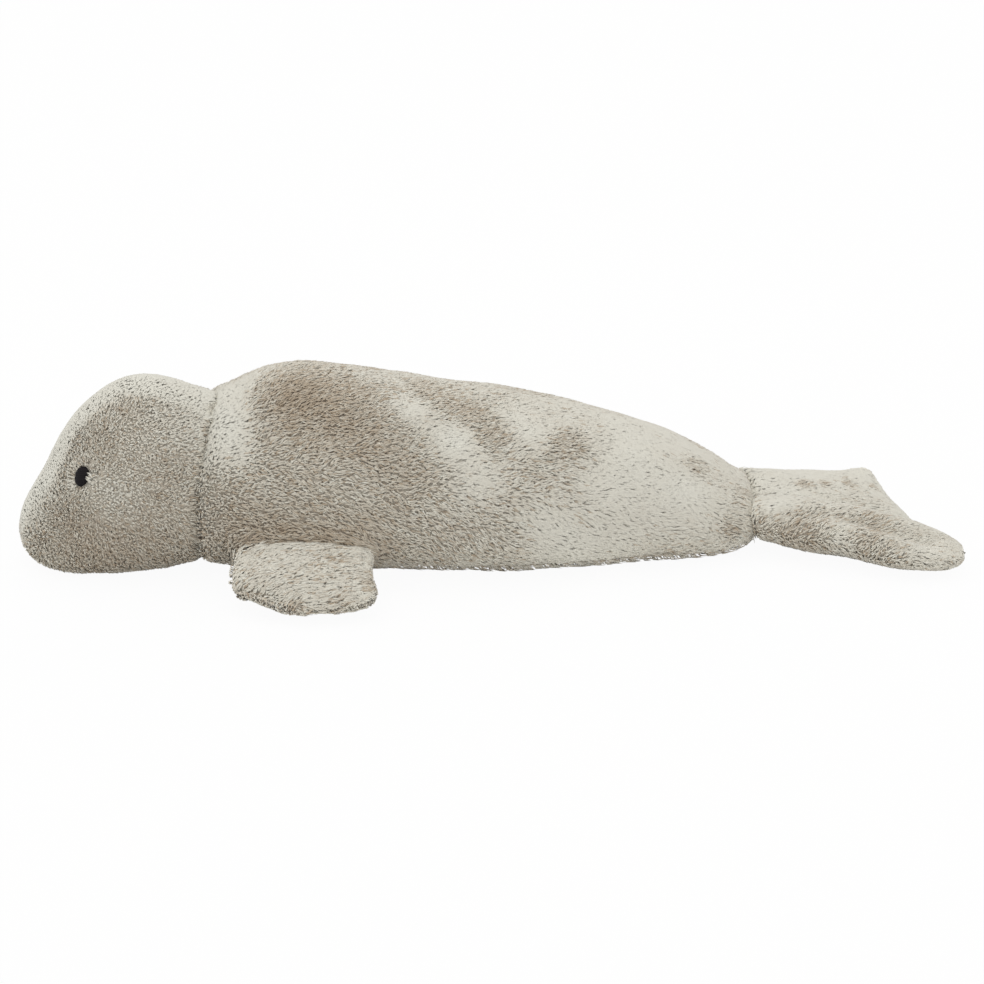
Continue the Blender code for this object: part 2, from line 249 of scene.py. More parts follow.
# Painted shade and painted light: the dark patches shade hollows, such as the shoulder behind the neck ridge
# and the low front flank, and the pale ones light ridges, such as the neck; partly they also follow pile
# brushed another way.
TORSO_PATCHES = (
    BrushedAndShadedPatch(-0.101, -0.024, 0.094, 0.026, -0.56),
    BrushedAndShadedPatch(-0.073, -0.040, 0.080, 0.024, -0.26),
    BrushedAndShadedPatch(-0.047, -0.048, 0.067, 0.018, -0.20),
    BrushedAndShadedPatch(-0.133, -0.015, 0.091, 0.017, 0.23),
    BrushedAndShadedPatch(-0.137, -0.037, 0.079, 0.017, 0.29),
    BrushedAndShadedPatch(-0.128, -0.063, 0.030, 0.022, -0.35),
    BrushedAndShadedPatch(-0.098, -0.066, 0.028, 0.022, -0.45),
    BrushedAndShadedPatch(-0.067, -0.065, 0.025, 0.020, -0.39),
    BrushedAndShadedPatch(-0.045, -0.025, 0.086, 0.012, 0.27),
    BrushedAndShadedPatch(-0.022, -0.037, 0.074, 0.014, 0.29),
    BrushedAndShadedPatch(-0.011, -0.054, 0.056, 0.014, 0.20),
    BrushedAndShadedPatch(-0.035, -0.003, 0.089, 0.012, -0.33),
    BrushedAndShadedPatch(-0.014, -0.016, 0.082, 0.011, -0.33),
    BrushedAndShadedPatch(-0.001, -0.029, 0.074, 0.010, -0.21),
    BrushedAndShadedPatch(0.015, -0.024, 0.074, 0.014, 0.21),
    BrushedAndShadedPatch(0.038, -0.028, 0.068, 0.009, -0.26),
    BrushedAndShadedPatch(0.077, -0.023, 0.057, 0.030, 0.23),
    BrushedAndShadedPatch(0.108, -0.021, 0.040, 0.018, 0.18),
    BrushedAndShadedPatch(0.106, -0.007, 0.048, 0.008, -0.24),
    BrushedAndShadedPatch(0.103, -0.037, 0.015, 0.026, 0.08),
    BrushedAndShadedPatch(0.040, -0.058, 0.018, 0.034, 0.20),
    BrushedAndShadedPatch(-0.016, -0.063, 0.034, 0.022, -0.09),
    BrushedAndShadedPatch(0.132, 0.001, 0.033, 0.005, -0.34),
    BrushedAndShadedPatch(0.124, -0.027, 0.020, 0.006, -0.42),
    BrushedAndShadedPatch(-0.095, 0.040, 0.084, 0.026, -0.30),
    BrushedAndShadedPatch(-0.020, 0.050, 0.060, 0.020, 0.21),
    BrushedAndShadedPatch(0.010, 0.035, 0.070, 0.014, -0.23),
    BrushedAndShadedPatch(0.070, 0.040, 0.045, 0.024, 0.20),
)
# Painted shade low on the head and at the neck seam; the paler patches on the face are partly painted light
# and partly brushed pile.
HEAD_PATCHES = (
    BrushedAndShadedPatch(-0.212, -0.056, 0.022, 0.022, -0.26),
    BrushedAndShadedPatch(-0.176, -0.058, 0.020, 0.026, -0.29),
    BrushedAndShadedPatch(-0.210, 0.040, 0.022, 0.030, -0.20),
    BrushedAndShadedPatch(-0.195, -0.058, 0.049, 0.018, 0.12),
    BrushedAndShadedPatch(-0.236, -0.030, 0.036, 0.018, 0.12),
    BrushedAndShadedPatch(-0.165, -0.055, 0.060, 0.011, -0.12),
    BrushedAndShadedPatch(-0.200, -0.045, 0.075, 0.010, -0.11),
    BrushedAndShadedPatch(-0.156, -0.040, 0.075, 0.014, 0.11),
)
# Painted shade in the valley along the fold, and painted light on the lobe beside it.
LEFT_HIND_PATCHES = (
    BrushedAndShadedPatch(0.156, -0.030, 0.021, 0.015, -0.33),
    BrushedAndShadedPatch(0.196, -0.028, 0.024, 0.012, -0.33),
    BrushedAndShadedPatch(0.178, -0.036, 0.020, 0.008, 0.17),
    BrushedAndShadedPatch(0.150, -0.012, 0.026, 0.010, 0.17),
)
# Painted shade: a thin dark line along the crease of the fold, and a faintly darker broad stretch.
RIGHT_HIND_PATCHES = (
    BrushedAndShadedPatch(0.140, 0.012, 0.028, 0.006, -0.20),
    BrushedAndShadedPatch(0.165, 0.025, 0.024, 0.004, -0.49),
    BrushedAndShadedPatch(0.176, 0.029, 0.022, 0.003, -0.45),
    BrushedAndShadedPatch(0.190, 0.037, 0.019, 0.003, -0.45),
    BrushedAndShadedPatch(0.205, 0.044, 0.014, 0.003, -0.45),
    BrushedAndShadedPatch(0.192, 0.020, 0.017, 0.022, -0.12),
)
# Painted shade: darker patches along the fold and in the creases at its dents.
FORE_PATCHES = (
    BrushedAndShadedPatch(-0.064, -0.088, 0.014, 0.005, -0.50),
    BrushedAndShadedPatch(-0.101, -0.107, 0.009, 0.005, -0.45),
    BrushedAndShadedPatch(-0.124, -0.098, 0.014, 0.004, -0.26),
    BrushedAndShadedPatch(-0.116, -0.100, 0.014, 0.004, -0.26),
    BrushedAndShadedPatch(-0.078, -0.104, 0.010, 0.005, -0.15),
)
DRESS = {
    "torso": (TORSO_COAT, TORSO_PATCHES),
    "head": (HEAD_COAT, HEAD_PATCHES),
    "left_fore_flipper": (FORE_COAT, FORE_PATCHES),
    "right_fore_flipper": (FORE_COAT, ()),
    "left_hind_flipper": (HIND_COAT, LEFT_HIND_PATCHES),
    "right_hind_flipper": (FAR_HIND_COAT, RIGHT_HIND_PATCHES),
}
GROOVES = {
    "left_hind_flipper": (
        Groove(start=(0.152, -0.018), end=(0.224, -0.036), width=0.0065, depth=0.0045),
    ),
    "left_fore_flipper": (
        Groove(start=(-0.128, -0.096), end=(-0.106, -0.103), width=0.0044, depth=0.0060),
    ),
}
DENTS = {
    "torso": (
        Dent(place=(0.118, -0.025, 0.010), reach=0.022, push=(0.0, -0.0010, -0.0030)),
    ),
    "left_fore_flipper": (
        Dent(place=(-0.124, -0.108, 0.008), reach=0.013, push=(0.0, 0.0070, 0.0060)),
        Dent(place=(-0.063, -0.100, 0.010), reach=0.012, push=(0.0075, -0.0030, 0.0)),
    ),
    "left_hind_flipper": (
        Dent(place=(0.176, -0.044, 0.008), reach=0.024, push=(0.0, 0.0020, 0.0038)),
    ),
    "right_hind_flipper": (
        Dent(place=(0.2045, 0.0607, 0.016), reach=0.014, push=(0.0030, 0.0020, 0.0040)),
    ),
}


class SkinSettings(bpy.types.PropertyGroup):
    """The stuffed cloth under the pile"""

    inset: FloatProperty(
        name="Inset",
        description="How far the cloth lies below the tips of the pile",
        default=0.0027,
        min=0.001,
        unit="LENGTH",
    )
    fine_inset: FloatProperty(
        name="Flipper inset",
        description="The same, on the flippers",
        default=0.0022,
        min=0.001,
        unit="LENGTH",
    )
    weave: FloatProperty(
        name="Cloth grid",
        description="Size of the faces that the torso and head are simulated with",
        default=0.0048,
        min=0.002,
        unit="LENGTH",
    )
    fine_weave: FloatProperty(
        name="Fine cloth grid",
        description="Size of the faces that the flippers are simulated with",
        default=0.0031,
        min=0.001,
        unit="LENGTH",
    )
    pressure: FloatProperty(
        name="Pressure", description="How hard the filling pushes out", default=4.0, min=0.0
    )
    give: FloatProperty(
        name="Give",
        description="How far the filling may push the cloth",
        default=0.0018,
        min=0.0,
        unit="LENGTH",
    )
    slack: FloatProperty(
        name="Slack",
        description="Height of the soft lumps in the cloth",
        default=0.0011,
        min=0.0,
        unit="LENGTH",
    )
    frames: IntProperty(name="Frames", description="Length of the cloth simulation", default=20, min=2)


class PileSettings(bpy.types.PropertyGroup):
    """The locks of the pile"""

    width: FloatProperty(
        name="Lock width",
        description="Width of a lock at its root",
        default=0.00124,
        min=0.0002,
        unit="LENGTH",
    )
    clump: FloatProperty(
        name="Clump size",
        description="Distance between the clumps that the tips gather into",
        default=0.0050,
        min=0.001,
        unit="LENGTH",
    )
    gather: FloatProperty(
        name="Gather", description="How far tips are drawn to their clump", default=0.24, min=0.0, max=1.0
    )
    seed: IntProperty(name="Seed", description="Changes where every lock grows", default=11)


def yarn(name, description, colour):
    return FloatVectorProperty(name=name, description=description, subtype="COLOR", default=colour)


class ColourSettings(bpy.types.PropertyGroup):
    """The colours of the yarn"""

    root_dark: yarn("Dark root", "Root of the darkest locks", (0.45, 0.355, 0.265))
    root_pale: yarn("Pale root", "Root of the palest locks", (0.87, 0.85, 0.755))
    tip_dark: yarn("Dark tip", "Tip of the darkest locks", (0.52, 0.425, 0.315))
    tip_pale: yarn("Pale tip", "Tip of the palest locks", (0.88, 0.865, 0.775))
    ground_dark: yarn("Dark cloth", "Cloth below the darkest pile", (0.45, 0.355, 0.265))
    ground_pale: yarn("Pale cloth", "Cloth below the palest pile", (0.85, 0.82, 0.73))
    thread: yarn("Eye thread", "Satin stitch", (0.010, 0.008, 0.009))


class EyeSettings(bpy.types.PropertyGroup):
    """The stitched eyes"""

    thread: FloatProperty(
        name="Thread",
        description="Thickness of the embroidery thread",
        default=0.00046,
        min=0.0001,
        unit="LENGTH",
    )
    slant: FloatProperty(
        name="Slant", description="How far the stitches lean", default=math.radians(12), subtype="ANGLE"
    )


class StageSettings(bpy.types.PropertyGroup):
    """The floor, the lamps and the camera"""

    elevation: FloatProperty(
        name="Camera elevation",
        description="How far the camera looks down",
        default=math.radians(22),
        subtype="ANGLE",
    )
    distance: FloatProperty(
        name="Camera distance", description="From the point it looks at", default=1.7, unit="LENGTH"
    )
    aim_height: FloatProperty(
        name="Aim height", description="Height of the point it looks at", default=0.030, unit="LENGTH"
    )
    lens: FloatProperty(name="Lens", description="Focal length", default=117.57, unit="CAMERA")
    fill: FloatProperty(
        name="Fill", description="Strength of the light from all round", default=0.93, min=0.0
    )
    overhead: FloatProperty(
        name="Overhead", description="Power of the overhead lamp in watts", default=3.5, min=0.0
    )


def select_only(*items):
    """Leaves just these objects selected, with the first one active."""
    for item in bpy.context.scene.objects:
        item.select_set(False)
    for item in items:
        item.select_set(True)
    bpy.context.view_layer.objects.active = items[0]


def apply_all(piece):
    select_only(piece)
    for modifier in list(piece.modifiers):
        bpy.ops.object.modifier_apply(modifier=modifier.name)


def coordinates(mesh):
    """A mesh's vertices as an array."""
    flat = np.empty(len(mesh.vertices) * 3, np.float32)
    mesh.vertices.foreach_get("co", flat)
    return flat.reshape(-1, 3).astype(float)


def set_coordinates(mesh, places):
    mesh.vertices.foreach_set("co", places.astype(np.float32).ravel())
    mesh.update()


def normals(mesh):
    flat = np.empty(len(mesh.vertices) * 3, np.float32)
    mesh.vertex_normals.foreach_get("vector", flat)
    return flat.reshape(-1, 3).astype(float)


def unit(vectors):
    """Each row at length one."""
    return vectors / np.maximum(np.linalg.norm(vectors, axis=-1, keepdims=True), 1e-9)


def drift(points, size, offset):
    """A smooth random vector at each point, which changes over about this size, the same each run."""
    noise.seed_set(NOISE_SEED)
    shift = Vector((offset, -offset, 2 * offset))
    return np.array([noise.noise_vector(Vector(point) / size + shift) for point in points])


def swell(points, size, offset):
    """A smooth random number from about -1 to 1 at each point."""
    shift = Vector((offset, 3 * offset, -offset))
    return np.array([noise.noise(Vector(point) / size + shift) for point in points])


class Value:
    """A number socket in an expression, which makes its Math nodes."""

    def __init__(self, nodes, socket):
        self.nodes = nodes
        self.socket = socket

    def math(self, operation, *others, clamp=False):
        sockets = [other.socket if isinstance(other, Value) else other for other in others]
        made = self.nodes.add("Math", {"operation": operation, "use_clamp": clamp}, [self.socket, *sockets])
        return Value(self.nodes, made.outputs[0])

    def __add__(self, other):
        return self.math("ADD", other)

    def __sub__(self, other):
        return self.math("SUBTRACT", other)

    def __mul__(self, other):
        return self.math("MULTIPLY", other)

    def __rsub__(self, other):
        return (self * -1.0) + other

    __radd__ = __add__
    __rmul__ = __mul__


class Nodes:
    """Builds the nodes of one material or world."""

    def __init__(self, owner):
        owner.use_nodes = True
        self.tree = owner.node_tree
        self.tree.nodes.clear()

    def add(self, kind, settings=None, inputs=None):
        """A node of this kind: its settings come first, then the values or links of its sockets."""
        node = self.tree.nodes.new("ShaderNode" + kind)
        for key, value in (settings or {}).items():
            setattr(node, key, value)
        pairs = inputs.items() if isinstance(inputs, dict) else enumerate(inputs or ())
        for key, value in pairs:
            value = value.socket if isinstance(value, Value) else value
            if isinstance(value, bpy.types.NodeSocket):
                self.tree.links.new(value, node.inputs[key])
            else:
                node.inputs[key].default_value = value
        return node

    def value(self, node, output=0):
        return Value(self, node.outputs[output])

    def blend(self, share, low, high):
        """A colour between two others."""
        settings = {"data_type": "RGBA", "clamp_factor": True}
        colours = [item if isinstance(item, bpy.types.NodeSocket) else (*item, 1.0) for item in (low, high)]
        made = self.add("Mix", settings, {0: share, 6: colours[0], 7: colours[1]})
        return made.outputs[2]

    def range(self, value, low, high, start=0.0, end=1.0):
        """The value's place between low and high, smoothed, as a number from start to end."""
        settings = {"interpolation_type": "SMOOTHSTEP"}
        return self.value(self.add("MapRange", settings, [value, low, high, start, end]))

    def finish(self, shader, kind="OutputMaterial"):
        self.add(kind, None, [shader.outputs[0]])


def pile_material(colours):
    """Yarn that is darker at the root than at the tip, partly the yarn's own colour and partly painted shade
    deep in the pile. Across the pile's map is a lock's tone, and up the map is the way along the lock."""
    made = bpy.data.materials.new("curly pile")
    nodes = Nodes(made)
    place = nodes.add("UVMap", {"uv_map": PILE_MAP})
    parts = nodes.add("SeparateXYZ", None, [place.outputs[0]])
    tone = nodes.value(parts, 0)
    along = nodes.value(parts, 1)
    stretched = nodes.add("Mapping", None, {"Vector": place.outputs[0], "Scale": (330.0, 2.2, 1.0)})
    fibres = nodes.add(
        "TexNoise",
        {"noise_dimensions": "2D"},
        {"Vector": stretched.outputs[0], "Scale": 1.0, "Detail": 2.0},
    )
    fibre = nodes.value(fibres) - 0.5
    root = nodes.blend(tone, colours.root_dark, colours.root_pale)
    tip = nodes.blend(tone, colours.tip_dark, colours.tip_pale)
    # Painted shade, partly the yarn's own colour: the roots of the darker locks are darker, for the shade
    # deep in the loose pile.
    height = nodes.range(along + fibre * 0.35, -0.1, 0.75)
    colour = nodes.blend(height, root, tip)
    shader = nodes.add(
        "BsdfPrincipled",
        None,
        {
            "Base Color": colour,
            "Roughness": 0.85,
            "Specular IOR Level": 0.15,
            "Sheen Weight": 0.45,
            "Sheen Roughness": 0.45,
            "Sheen Tint": (0.95, 0.93, 0.88, 1.0),
        },
    )
    nodes.finish(shader)
    return made


def ground_material(colours):
    """The knitted cloth that the pile is set in, seen only between the locks."""
    made = bpy.data.materials.new("plush ground")
    nodes = Nodes(made)
    place = nodes.add("TexCoord")
    loops = nodes.add("TexNoise", None, {"Vector": place.outputs["Object"], "Scale": 420.0, "Detail": 3.0})
    knit = nodes.value(loops)
    tone = nodes.value(nodes.add("Attribute", {"attribute_name": "tone"}), "Fac")
    colour = nodes.blend(tone + (knit - 0.5) * 0.9, colours.ground_dark, colours.ground_pale)
    bump = nodes.add("Bump", None, {"Strength": 0.5, "Distance": 0.0006, "Height": knit})
    shader = nodes.add(
        "BsdfPrincipled",
        None,
        {"Base Color": colour, "Roughness": 0.95, "Specular IOR Level": 0.1, "Normal": bump.outputs[0]},
    )
    nodes.finish(shader)
    return made


def thread_material(colours):
    """Near-black embroidery thread with a faint satin sheen."""
    made = bpy.data.materials.new("eye thread")
    nodes = Nodes(made)
    strand = nodes.value(nodes.add("Attribute", {"attribute_name": "strand"}), "Fac")
    place = nodes.add("TexCoord")
    fuzz = nodes.add("TexNoise", None, {"Vector": place.outputs["Object"], "Scale": 2600.0, "Detail": 2.0})
    share = strand * 0.6 + nodes.value(fuzz) * 0.4
    dark = [channel * 0.7 for channel in colours.thread]
    pale = [channel * 2.1 for channel in colours.thread]
    colour = nodes.blend(share, dark, pale)
    roughness = nodes.range(nodes.value(fuzz), 0.3, 0.7, 0.5, 0.68)
    shader = nodes.add(
        "BsdfPrincipled",
        None,
        {"Base Color": colour, "Roughness": roughness, "Specular IOR Level": 0.12, "Sheen Weight": 0.02},
    )
    nodes.finish(shader)
    return made


def shared_material(name, maker):
    """The material of that name, made once."""
    return bpy.data.materials.get(name) or maker(bpy.context.scene.seal_colours)


def press_grooves(places, outward, grooves):
    """Sinks folds into the faces that look up."""
    for groove in grooves:
        start = np.array(groove.start)
        along = np.array(groove.end) - start
        share = np.clip(((places[:, :2] - start) @ along) / (along @ along), 0.0, 1.0)
        away = np.linalg.norm(places[:, :2] - start - share[:, None] * along, axis=1) / groove.width
        depth = groove.depth * np.exp(-(away**2)) * np.clip(outward[:, 2] * 2, 0.0, 1.0)
        places = places - depth[:, None] * UP
    return places


def push_dents(places, dents):
    """Pushes stretches of the cloth aside, most in the middle of each."""
    for dent in dents:
        share = np.exp(-np.sum((places - np.array(dent.place)) ** 2, axis=1) / dent.reach**2)
        places = places + share[:, None] * np.array(dent.push)
    return places


def other_solids(node):
    return [frame["nodes"][other].data for other in PLUSH_NODES if other != node]


def other_skins(node):
    return [bpy.data.objects[other + "_skin"].data for other in PLUSH_NODES if other != node]


def distance_to(points, meshes, reach):
    """How far each point is from the nearest of these closed meshes: no more than reach, and below 0 inside
    one."""
    distance = np.full(len(points), reach)
    for mesh in meshes:
        places = coordinates(mesh)
        near = np.all((points > places.min(axis=0) - reach) & (points < places.max(axis=0) + reach), axis=1)
        tree = search_tree(mesh)
        for index in np.nonzero(near)[0]:
            point = Vector(points[index])
            place, facing, _, away = tree.find_nearest(point)
            if (point - place).dot(facing) < 0:
                away = -away
            distance[index] = min(distance[index], away)
    return distance


def sink_below_pile(places, outward, seam, inset):
    """Draws the cloth in where it is open to the air, and less near a seam. The hidden faces at a seam keep
    their place, and their edges follow the open cloth inwards, so that the seam closes below the pile."""
    hidden = seam < SEAM_REACH
    open_cloth = np.nonzero(~hidden)[0]
    tree = KDTree(len(open_cloth))
    for number, index in enumerate(open_cloth):
        tree.insert(Vector(places[index]), number)
    tree.balance()
    depth = inset * (SEAM_INSET + (1 - SEAM_INSET) * step_up(seam, SEAM_REACH, SEAM_FILL))
    moved = -outward * depth[:, None]
    for index in np.nonzero(hidden)[0]:
        _, number, away = tree.find(Vector(places[index]))
        moved[index] = moved[open_cloth[number]] * math.exp(-((away / (2 * inset)) ** 2))
    return places + moved


def fill_out(skin, settings, freedom):
    """Blows the skin up a little in a cloth simulation, as filling does, and keeps the result as its mesh."""
    before = coordinates(skin.data)
    modifier = skin.modifiers.new("filling", "CLOTH")
    modifier.settings.use_pressure = True
    modifier.settings.uniform_pressure_force = settings.pressure
    modifier.settings.effector_weights.gravity = 0.0
    modifier.point_cache.frame_start = 1
    modifier.point_cache.frame_end = settings.frames
    scene = bpy.context.scene
    for step in range(1, settings.frames + 1):
        scene.frame_set(step)
    graph = bpy.context.evaluated_depsgraph_get()
    after = coordinates(skin.evaluated_get(graph).data)
    skin.modifiers.remove(modifier)
    scene.frame_set(1)
    moved = after - before
    length = np.linalg.norm(moved, axis=1, keepdims=True)
    moved *= np.minimum(1.0, settings.give * freedom[:, None] / np.maximum(length, 1e-9))
    set_coordinates(skin.data, before + moved)


def make_skin(node, weave, inset):
    """The stuffed cloth of a piece: its solid drawn in below the pile, blown up and slightly lumpy."""
    settings = bpy.context.scene.seal_skin
    source = frame["nodes"][node]
    skin = bpy.data.objects.new(node + "_skin", source.data.copy())
    skin.data.name = skin.name
    skin.data.materials.clear()
    bpy.context.scene.collection.objects.link(skin)
    select_only(skin)
    bpy.ops.object.mode_set(mode="EDIT")
    bpy.ops.mesh.select_all(action="SELECT")
    bpy.ops.mesh.remove_doubles(threshold=MERGE)
    bpy.ops.object.mode_set(mode="OBJECT")
    remesh = skin.modifiers.new("cloth grid", "REMESH")
    remesh.mode = "VOXEL"
    remesh.voxel_size = weave
    even = skin.modifiers.new("even", "SMOOTH")
    even.factor = 0.5
    even.iterations = 2
    apply_all(skin)
    places = coordinates(skin.data)
    seam = distance_to(places, other_solids(node), SEAM_FILL)
    set_coordinates(skin.data, sink_below_pile(places, normals(skin.data), seam, inset))
    freedom = np.clip(seam / SEAM_REACH - 1, 0.0, 1.0)
    fill_out(skin, settings, freedom)
    places = coordinates(skin.data)
    outward = normals(skin.data)
    places += outward * (swell(places, LUMP_SIZE, 3.0) * settings.slack * freedom)[:, None]
    places = push_dents(press_grooves(places, outward, GROOVES.get(node, ())), DENTS.get(node, ()))
    places[:, 2] = np.maximum(places[:, 2], CLOTH_FLOOR)
    set_coordinates(skin.data, places)
    finer = skin.modifiers.new("finer", "SUBSURF")
    finer.levels = finer.render_levels = 1
    apply_all(skin)
    skin.data.shade_smooth()
    # The cloth takes the pile's broad tone, with its painted top highlight and its patches of painted shade
    # and painted light.
    tone = broad_tone(coordinates(skin.data), normals(skin.data), *DRESS[node])
    skin.data.attributes.new("tone", "FLOAT", "POINT").data.foreach_set("value", tone.astype(np.float32))
    skin.data.materials.append(shared_material("plush ground", ground_material))
    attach(skin, BODY)
    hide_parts(node)


def first_in_cells(points, size):
    """Picks one of these points in each cell of a grid, and returns their numbers."""
    cells = np.floor(points / size).astype(np.int64)
    _, first = np.unique(cells @ CELL_KEY, return_index=True)
    return first


def scatter(skin, spacing, random):
    """Evenly spread points on a skin, with the cloth's normal at each."""
    mesh = skin.data
    mesh.calc_loop_triangles()
    corners = np.empty(len(mesh.loop_triangles) * 3, np.int32)
    mesh.loop_triangles.foreach_get("vertices", corners)
    corners = corners.reshape(-1, 3)
    places = coordinates(mesh)
    outward = normals(mesh)
    a, b, c = (places[corners[:, k]] for k in range(3))
    areas = np.linalg.norm(np.cross(b - a, c - a), axis=1) / 2
    count = int(TRIES * areas.sum() / spacing**2)
    steps = np.cumsum(areas) / areas.sum()
    face = np.searchsorted(steps, random.random(count))
    root, side = np.sqrt(random.random(count)), random.random(count)
    weights = np.stack((1 - root, root * (1 - side), root * side), axis=1)
    chosen = corners[face]
    points = np.einsum("nk,nkd->nd", weights, places[chosen])
    facing = unit(np.einsum("nk,nkd->nd", weights, outward[chosen]))
    kept = np.sort(first_in_cells(points, spacing * ROOT_CELL))
    return points[kept], facing[kept]


def search_tree(mesh):
    faces = [tuple(face.vertices) for face in mesh.polygons]
    return BVHTree.FromPolygons(coordinates(mesh).tolist(), faces)


def lie_on_cloth(tree, places):
    """The place on the cloth that is nearest to each of these, and the cloth's normal there."""
    found = [tree.find_nearest(Vector(place)) for place in places]
    return tuple(np.array([hit[item] for hit in found]).reshape(-1, 3) for item in (0, 1))


def gather_tips(roots, tips, settings, loose, random):
    """Draws the tips of neighbouring locks together, so that the pile lies in curls."""
    order = random.permutation(len(roots))
    centres = order[first_in_cells(roots[order], settings.clump)]
    tree = KDTree(len(centres))
    for number, index in enumerate(centres):
        tree.insert(Vector(roots[index]), number)
    tree.balance()
    own = centres[[tree.find(Vector(root))[1] for root in roots]]
    share = settings.gather * random.uniform(0.6, 1.4, len(roots)) * NAP_GATHER.at(loose)
    return tips + (tips[own] - tips) * share[:, None]


def locks_mesh(name, roots, middles, tips, outward, facing, widths, tones, softness):
    """One closed, bent, three-sided lock of pile for each root, with its tone and length in the pile's map.
    It is shaded partly like the cloth that it lies on, as fine yarn is, and more so the softer it is."""
    count = len(roots)
    rings = []
    shading = []
    for here, there, size in ((roots, middles, widths), (middles, tips, widths * LOCK_TAPER)):
        along = unit(there - here)
        across = unit(np.cross(along, outward))
        over = np.cross(across, along)
        for turn in LOCK_TURNS:
            arm = across * math.cos(turn) + over * math.sin(turn) * LOCK_THICKNESS
            rings.append(here + arm * size[:, None] / 2)
            shading.append(unit(outward * softness[:, None] + arm * (1 - softness)[:, None]))
    shading.append(unit(facing * softness[:, None] + unit(tips - middles) * (1 - softness)[:, None]))
    places = np.stack([*rings, tips], axis=1)
    places[:, :, 2] = np.maximum(places[:, :, 2], PILE_FLOOR)
    sizes = np.array([len(face) for face in LOCK_FACES])
    corners = np.concatenate([np.array(face) for face in LOCK_FACES])
    starts = np.concatenate(((0,), np.cumsum(sizes)[:-1]))
    mesh = bpy.data.meshes.new(name)
    mesh.vertices.add(count * LOCK_CORNERS)
    mesh.loops.add(count * len(corners))
    mesh.polygons.add(count * len(LOCK_FACES))
    mesh.vertices.foreach_set("co", places.astype(np.float32).ravel())
    step = np.arange(count)[:, None]
    loop_corners = corners[None, :] + step * LOCK_CORNERS
    loop_starts = starts[None, :] + step * len(corners)
    mesh.loops.foreach_set("vertex_index", loop_corners.astype(np.int32).ravel())
    mesh.polygons.foreach_set("loop_start", loop_starts.astype(np.int32).ravel())
    layer = mesh.uv_layers.new(name=PILE_MAP)
    tones = np.clip(tones, MAP_MARGIN, 1 - MAP_MARGIN)
    u = tones[:, None] + HALF_LOCK_ON_MAP * np.array(LOCK_ACROSS)[corners][None, :]
    v = np.broadcast_to(MAP_MARGIN + (1 - 2 * MAP_MARGIN) * np.array(LOCK_UP)[corners][None, :], u.shape)
    layer.data.foreach_set("uv", np.stack((u, v), axis=-1).astype(np.float32).ravel())
    mesh.update(calc_edges=True)
    mesh.shade_smooth()
    mesh.normals_split_custom_set_from_vertices(np.stack(shading, axis=1).reshape(-1, 3).tolist())
    return mesh


def step_up(values, low, high):
    """0 below low, 1 above high, and smooth between them."""
    share = np.clip((values - low) / (high - low), 0.0, 1.0)
    return share**2 * (3 - 2 * share)


def broad_tone(points, outward, coat, patches):
    """How pale the pile is at large: the piece's tone, its top, which is paler partly for brushing and partly
    as a painted highlight, and the soft patches of painted shade, painted light and brushed pile.
    """
    sideways = np.abs(outward[:, 1]) + 0.05 * swell(points, 0.012, 4.0)
    brushed_and_lit_top = 1 - step_up(sideways, coat.top - BRUSHED_AND_LIT_TOP_EDGE, coat.top + BRUSHED_AND_LIT_TOP_EDGE)
    brushed_and_lit_top = brushed_and_lit_top * step_up(outward[:, 2], -0.1, 0.3)
    # Painted highlight, partly brushed pile: the top of the piece is made paler, where the light falls on it.
    tone = coat.tone + coat.rise * brushed_and_lit_top
    # The soft patches: painted shade in hollows and folds, painted light on ridges, and pile brushed another
    # way.
    for patch in patches:
        away = points - np.array((patch.x, patch.y, patch.z))
        tone = tone + patch.tone * np.exp(-np.sum(away**2, axis=1) / patch.reach**2)
    return tone + PATCH_MOTTLE * swell(points, PATCH_MOTTLE_SIZE, 1.0)


def nap_at(points, outward, coat, loose):
    """The way that the pile lies: with the nap, down where the flanks are steep, up where the cloth faces
    forwards, and turned this way and that where it curls."""
    steep = 1 - np.abs(outward[:, 2:3])
    front = np.clip(-outward @ np.array(coat.nap), 0.0, 1.0)[:, None]
    lie = np.array(coat.nap)[None, :] - UP * coat.droop * steep + UP * FRONT_LIFT * front
    lie = lie + coat.curl * CURL_TURN * drift(points, CURL_SIZE, 5.0)
    return lie + (coat.curl * TOUSLE_TURN * loose)[:, None] * drift(points, TOUSLE_SIZE, 9.0)


def lock_tones(broad, points, loose, random):
    """How pale each lock is: mottled and with stray dark and pale locks where the pile is loose."""
    tone = broad + NAP_MOTTLE.at(loose) * swell(points, LOCK_MOTTLE_SIZE, 2.0)
    tone = tone + random.normal(0.0, 1.0, len(points)) * NAP_SPECKLE.at(loose)
    stray = random.random(len(points))
    tone = np.where(stray < DARK_STRAYS * loose, tone + DARK_STRAY_TONE, tone)
    return np.where(stray > 1 - PALE_STRAYS * loose, tone + PALE_STRAY_TONE, tone)


def lay_locks(tree, roots, outward, lie, run):
    """How far each lock runs, where it comes down on its own cloth, and the cloth's normal there. A lock that
    would bend round a rim is made shorter."""
    below, facing = lie_on_cloth(tree, roots + lie * run[:, None])
    bent = np.sum(outward * facing, axis=1) < RIM_BEND
    run = np.where(bent, run * RIM_RUN, run)
    below[bent], facing[bent] = lie_on_cloth(tree, roots[bent] + lie[bent] * run[bent, None])
    return run, below, facing


